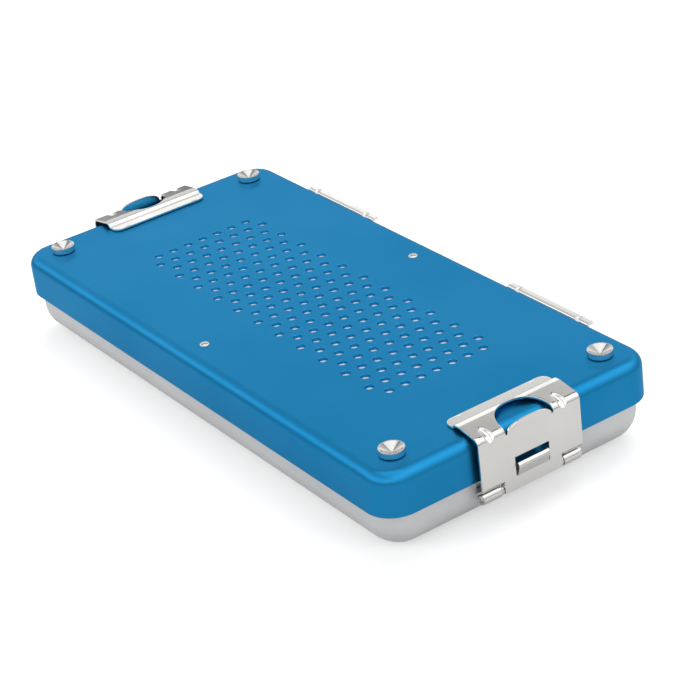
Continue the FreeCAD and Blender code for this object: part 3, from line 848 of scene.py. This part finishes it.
def latchShape():
    # The paths and the places along them, in millimetres, in the plane of X and Z
    top = lidHigh.z / mm
    pinZ = (pinLow.z + pinHigh.z) / 2 / mm
    face, sheet = latch["face"], latch["sheet"]
    slope = math.radians(latch["slopeDegrees"])
    stripTop = top + latch["stripGap"] + sheet
    stripInner = face - latch["reach"]
    crease = stripInner + latch["stripWidth"]
    crestX, crestZ = crease + latch["crestRun"], stripTop + latch["crestRise"]
    bendZ = crestZ - (face - crestX) * math.tan(slope)
    bottom = pinZ - latch["bottomBelowPin"]
    jog = (crease + latch["jogRun"], stripTop + latch["jogRise"])
    main = bendPath([(stripInner, stripTop), (crease, stripTop), jog, (crestX, crestZ), (face, bendZ), (face, bottom)],
                    latch["radii"])
    total = pathLength(main)

    def downFace(z):
        return total - (z - bottom)

    slitTop = pinZ + latch["slitTopAbovePin"]
    innerFace, pinX = face - sheet, face - latch["pinSetBack"]
    crank, roll = math.radians(latch["crankDegrees"]), latch["rollRadius"]
    meets = pinZ + (innerFace - pinX) * math.tan(crank) + roll / math.cos(crank)
    touch = (pinX + roll * math.cos(crank + math.pi / 2), pinZ + roll * math.sin(crank + math.pi / 2))
    finger = bendPath([(innerFace, slitTop), (innerFace, meets), touch], [latch["crankRadius"]])
    wrap = math.radians(270 + latch["rollEndDegrees"] - latch["crankDegrees"])
    finger.append((Vector(touch), crank + math.pi, roll * wrap, wrap))

    drop = top - pinZ
    windowTop = top - latch["windowTopShare"] * drop
    windowBottom = windowTop - latch["windowShare"] * drop
    lip = bendPath([(face + x, windowBottom + z) for x, z in latch["lipPoints"]], [latch["lipRadius"]])
    footZ = bendZ - latch["radii"][-1]
    lean = math.radians(latch["tabLeanDegrees"])
    tab = [(Vector((face, footZ)), math.pi / 2, 0.6, -lean)]
    after, _ = alongPath(tab, 0.6)
    tab.append((after, math.pi / 2 - lean, top + latch["tabAboveLid"] - footZ, 0.0))
    start = Vector((face - latch["dartRun"], bendZ + latch["dartRun"] * math.tan(slope)))
    end = Vector((face, bendZ - latch["dartDrop"]))
    dart = {"start": start, "outwards": Vector((start.y - end.y, end.x - start.x)).normalized(),
            "radius": latch["dartRadius"], "lip": latch["dartLip"], "depth": latch["dartDepth"]}
    holeMiddle = total - (bendZ - bottom) - (latch["thumbInset"]) / math.cos(slope)
    return {
        "main": main, "finger": finger, "lip": lip, "tab": tab, "dart": dart,
        "slit": downFace(slitTop), "end": downFace(slitTop) + pathLength(finger), "bottom": total,
        "windowTop": downFace(windowTop), "windowBottom": downFace(windowBottom),
        "lipLength": pathLength(lip),
        "foot": downFace(footZ), "tabHeight": top + latch["tabAboveLid"] - footZ,
        "holeMiddle": holeMiddle, "bend": downFace(bendZ),
    }


def latchBlank(shape):
    wide, corner = latch["halfWidth"], latch["stripCorner"]
    inner, outer, tongue = latch["rollInnerEnd"], latch["rollOuterEnd"], latch["tongueHalfWidth"]
    slit, end, bottom = shape["slit"], shape["end"], shape["bottom"]
    half = [(bottom, tongue), (slit, tongue), (slit, inner), (end, inner), (end, outer), (slit, outer),
            (slit, wide)]
    half += quarterTurn((corner, wide - corner), corner, 90, 180, 10)
    outline = half + [(s, -y) for s, y in reversed(half)]
    foot, middle, radius = shape["foot"], shape["holeMiddle"], latch["thumbRadius"]
    thumb = quarterTurn((middle, 0), radius, 90, 270, 64) + [(foot, -radius)]
    tabHalf = latch["tabHalfWidth"]
    for i in range(49):
        angle = math.pi * i / 48
        sideways = -math.cos(angle)
        rise = max(0.0, 1 - abs(sideways) ** 2.5) ** 0.4
        thumb.append((foot - shape["tabHeight"] * rise, tabHalf * sideways))
    thumb.append((foot, radius))
    window, lipHalf = latch["windowHalfWidth"], latch["lipHalfWidth"]
    top, low, lipTop = shape["windowTop"], shape["windowBottom"], shape["windowBottom"] - shape["lipLength"]
    opening = [(top, -window), (low, -window), (low, -lipHalf), (lipTop, -lipHalf),
               (lipTop, lipHalf), (low, lipHalf), (low, window), (top, window)]
    return flatBlank(outline, [thumb, opening], latch["sheet"], latch["edgeBreak"])


def latchPlace(shape, s, y, t):
    # Where a point of the flat blank comes to lie once the latch is bent
    slack = latch["slack"]
    if shape["foot"] > s > shape["foot"] - shape["tabHeight"] - slack and abs(y) < latch["tabHalfWidth"] + slack:
        point, left = alongPath(shape["tab"], shape["foot"] - s)
        return point - left * t
    lipBase = shape["windowBottom"]
    if lipBase > s > lipBase - shape["lipLength"] - slack and abs(y) < latch["lipHalfWidth"] + slack:
        point, left = alongPath(shape["lip"], lipBase - s)
        return point - left * t
    if s > shape["slit"] and abs(y) > (latch["tongueHalfWidth"] + latch["rollInnerEnd"]) / 2:
        point, left = alongPath(shape["finger"], s - shape["slit"])
        return point + left * (t + latch["sheet"])
    point, left = alongPath(shape["main"], s)
    across = min(abs(y - place) for place in latch["darts"])
    pressed = pressedDepth(point, across, shape["dart"]) if across < latch["dartReach"] + 1 else 0.0
    return point + left * t - shape["dart"]["outwards"] * pressed


def latchFlap(bm, name, body, node, sign):
    piece = pieceFrom(bm, name, finish["polished_stainless"])
    for vertex in piece.data.vertices:
        vertex.co.x *= sign
        vertex.co.y *= sign
    evenShading(piece, 55)
    return dressed(piece, body, "polished_stainless", node)


def bentLatch():
    shape = latchShape()
    bm = latchBlank(shape)
    lines = bendLines(shape["main"], 0, 7.5) + bendLines(shape["finger"], shape["slit"], 9)
    lines += bendLines(shape["lip"], shape["windowBottom"], 9, -1)
    lines += [shape["foot"] - 0.3, shape["foot"] - 0.6, shape["foot"], shape["slit"]]
    lines += spread(shape["bend"] - latch["dartRun"] - 1.0, shape["bend"] + latch["dartDrop"] + 1.0,
                    latch["dartStep"])
    reach = latch["dartReach"]
    dartLines = [line for place in latch["darts"] for line in spread(place - reach, place + reach, latch["dartStep"])]
    scoreLines(bm, sorted(set(lines)), dartLines)
    for vertex in bm.verts:
        s, y, t = vertex.co
        place = latchPlace(shape, s, y, t)
        vertex.co = (place.x * mm, y * mm, place.y * mm)
    bmesh.ops.recalc_face_normals(bm, faces=bm.faces)
    other = bm.copy()
    latchFlap(bm, "latchFlapRight", "latch_right", "latch_flap_right", 1)
    latchFlap(other, "latchFlapLeft", "latch_left", "latch_flap_left", -1)


bentLatch()
print("latches made")


# Lid guides

guide = {
    "length": 55.0,
    "sheet": 1.0,
    "edgeBreak": 0.13,
    "corner": 1.0,
    "face": 70.35,
    "shelfDrop": 0.6,
    "topDrop": 2.5,
    "flange": 3.85,
    "radii": (1.4, 0.6, 1.6),
    "dartInset": 7.0,
    "dartRadius": 1.3,
    "dartRun": 3.2,
    "dartLip": 0.3,
    "dartDepth": 2.0,
    "dartStep": 0.25,
}


def lidGuide(node):
    low, high = (Vector(corner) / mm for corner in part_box(node))
    middle, half = (low.x + high.x) / 2, guide["length"] / 2
    wall, face = tray["half"][1], guide["face"]
    shelf, top = lidLow.z / mm - guide["shelfDrop"], lidHigh.z / mm - guide["topDrop"]
    path = bendPath([(wall, low.z), (wall, shelf), (face, shelf), (face, top), (face + guide["flange"], top)],
                    guide["radii"])
    length, corner = pathLength(path), guide["corner"]
    outline = quarterTurn((length - corner, half - corner), corner, 0, 90, 6)
    outline += quarterTurn((corner, half - corner), corner, 90, 180, 6)
    outline += quarterTurn((corner, corner - half), corner, 180, 270, 6)
    outline += quarterTurn((length - corner, corner - half), corner, 270, 360, 6)
    bm = flatBlank(outline, [], guide["sheet"], guide["edgeBreak"])
    bend = length - guide["flange"]
    dartLines = spread(half - guide["dartInset"] - 2.4, half - guide["dartInset"] + 2.4, guide["dartStep"])
    lines = bendLines(path, 0, 9) + spread(bend - guide["dartRun"] - 1, length - 0.3, guide["dartStep"])
    scoreLines(bm, sorted(set(lines)), dartLines + [-line for line in dartLines])
    dart = {"start": Vector((face + guide["dartRun"], top)), "outwards": Vector((-1, 1)).normalized(),
            "radius": guide["dartRadius"], "lip": guide["dartLip"], "depth": guide["dartDepth"]}
    for vertex in bm.verts:
        s, x, t = vertex.co
        point, left = alongPath(path, s)
        across = abs(x) - (half - guide["dartInset"])
        pressed = pressedDepth(point, across, dart) if abs(across) < 3 and s > bend - 6 else 0.0
        place = point - left * (t + guide["sheet"]) - dart["outwards"] * pressed
        vertex.co = ((middle + x) * mm, place.x * mm, place.y * mm)
    bmesh.ops.recalc_face_normals(bm, faces=bm.faces)
    piece = pieceFrom(bm, node.replace("lid_guide", "bentGuide"), finish["polished_stainless"])
    evenShading(piece, 55)
    return dressed(piece, "base", "polished_stainless", node)


for end in ("left", "right"):
    lidGuide("lid_guide_" + end)
print("guides made")


# Floor, backdrop and light

studio = {
    "floorSize": 12.0,
    "floorColour": (0.80, 0.80, 0.80),
    "floorGlow": 0.42,
    "worldLight": 0.55,
    "behindLeft": ((0.0, 0.05), (0.11, 0.05), (0.15, 0.80), (0.30, 0.80), (0.34, 1.5), (0.43, 1.5), (0.48, 0.74),
                   (0.735, 0.74), (0.76, 0.05), (0.84, 0.05), (0.88, 1.5)),
    "aheadRight": ((0.0, 0.05), (0.10, 0.05), (0.16, 1.0), (0.50, 1.0), (0.60, 1.7), (0.86, 1.7), (0.95, 1.2)),
    "inFront": ((0.0, 0.05), (0.10, 0.05), (0.20, 0.5), (0.34, 1.7), (0.62, 1.7), (0.72, 0.7)),
    "lamps": {
        "overhead": {"place": (-0.5, 0.6, 1.5), "aim": (0, 0, 0), "size": (1.6, 1.2), "power": 15.0},
        "frontLeft": {"place": (-0.2, -1.6, 0.9), "aim": (0, 0, 0), "size": (1.2, 0.8), "power": 8.0},
        "rightSide": {"place": (1.6, 0.5, 0.8), "aim": (0, 0, 0), "size": (0.9, 0.9), "power": 6.0},
    },
}


def whiteWorld():
    # White to the camera, an even light on the object, and soft boxes and dark walls in what the metal reflects.
    # Each wall lists brightness by the sine of elevation.
    world = bpy.data.worlds.new("paleStudio")
    bpy.context.scene.world = world
    world.use_nodes = True
    tree = world.node_tree
    background = tree.nodes["Background"]
    direction = tree.nodes.new("ShaderNodeTexCoord")
    parts = tree.nodes.new("ShaderNodeSeparateXYZ")
    tree.links.new(direction.outputs["Generated"], parts.inputs[0])
    sides = []
    for wall in ("behindLeft", "aheadRight", "inFront"):
        heights = tree.nodes.new("ShaderNodeValToRGB")
        stops = heights.color_ramp.elements
        while len(stops) < len(studio[wall]):
            stops.new(0.5)
        for stop, (height, brightness) in zip(stops, studio[wall]):
            stop.position = height
            stop.color = (brightness, brightness, brightness, 1)
        tree.links.new(parts.outputs["Z"], heights.inputs["Fac"])
        sides.append(heights.outputs["Color"])
    reflected = sides[0]
    for side, where in ((sides[1], rangeOf(tree, parts.outputs["X"], 0, 1, -0.12, 0.06)),
                        (sides[2], rangeOf(tree, parts.outputs["Y"], 1, 0, -0.42, -0.22))):
        blend = tree.nodes.new("ShaderNodeMix")
        tree.links.new(where, blend.inputs["Factor"])
        tree.links.new(reflected, blend.inputs["A"])
        tree.links.new(side, blend.inputs["B"])
        reflected = blend.outputs["Result"]
    path = tree.nodes.new("ShaderNodeLightPath")
    mirrored = tree.nodes.new("ShaderNodeMix")
    mirrored.inputs["A"].default_value = studio["worldLight"]
    tree.links.new(path.outputs["Is Glossy Ray"], mirrored.inputs["Factor"])
    tree.links.new(reflected, mirrored.inputs["B"])
    seen = tree.nodes.new("ShaderNodeMix")
    seen.inputs["B"].default_value = 1.0
    tree.links.new(path.outputs["Is Camera Ray"], seen.inputs["Factor"])
    tree.links.new(mirrored.outputs["Result"], seen.inputs["A"])
    background.inputs["Color"].default_value = (1, 1, 1, 1)
    tree.links.new(seen.outputs["Result"], background.inputs["Strength"])


def paleFloor():
    half = studio["floorSize"] / 2
    mesh = bpy.data.meshes.new("paleFloor")
    corners = [(-half, -half, 0), (half, -half, 0), (half, half, 0), (-half, half, 0)]
    mesh.from_pydata(corners, [], [(0, 1, 2, 3)])
    floor = bpy.data.objects.new("paleFloor", mesh)
    bpy.context.collection.objects.link(floor)
    material, tree, shader = nodeMaterial("paleFloor")
    shader.inputs["Base Color"].default_value = (*studio["floorColour"], 1)
    shader.inputs["Roughness"].default_value = 0.9
    shader.inputs["Emission Color"].default_value = (1, 1, 1, 1)
    path = tree.nodes.new("ShaderNodeLightPath")
    glow = rangeOf(tree, path.outputs["Is Camera Ray"], 0.0, studio["floorGlow"])
    tree.links.new(glow, shader.inputs["Emission Strength"])
    mesh.materials.append(material)


def lamp(name, place, aim, size, power):
    data = bpy.data.lights.new(name, "AREA")
    data.shape = "RECTANGLE"
    data.size, data.size_y = size
    data.energy = power
    light = bpy.data.objects.new(name, data)
    light.visible_glossy = False
    bpy.context.collection.objects.link(light)
    light.location = place
    light.rotation_euler = (Vector(aim) - Vector(place)).to_track_quat("-Z", "Y").to_euler()


whiteWorld()
paleFloor()
for name, values in studio["lamps"].items():
    lamp(name, **values)

camera = {
    "place": (0.76444, -0.45640, 0.48730),
    "aim": (0.01230, 0.00555, 0.01940),
    "rollDegrees": -7.625,
    "lens": 116.92,
    "sensor": 36.0,
}


def photoCamera():
    data = bpy.data.cameras.new("photoCamera")
    data.sensor_width = camera["sensor"]
    data.lens = camera["lens"]
    view = bpy.data.objects.new("photoCamera", data)
    bpy.context.collection.objects.link(view)
    look = (Vector(camera["aim"]) - Vector(camera["place"])).to_track_quat("-Z", "Y").to_matrix().to_4x4()
    roll = Matrix.Rotation(math.radians(camera["rollDegrees"]), 4, "Z")
    view.matrix_world = Matrix.Translation(camera["place"]) @ look @ roll
    bpy.context.scene.camera = view


photoCamera()
bpy.context.scene.view_settings.view_transform = "Standard"
print("studio ready")
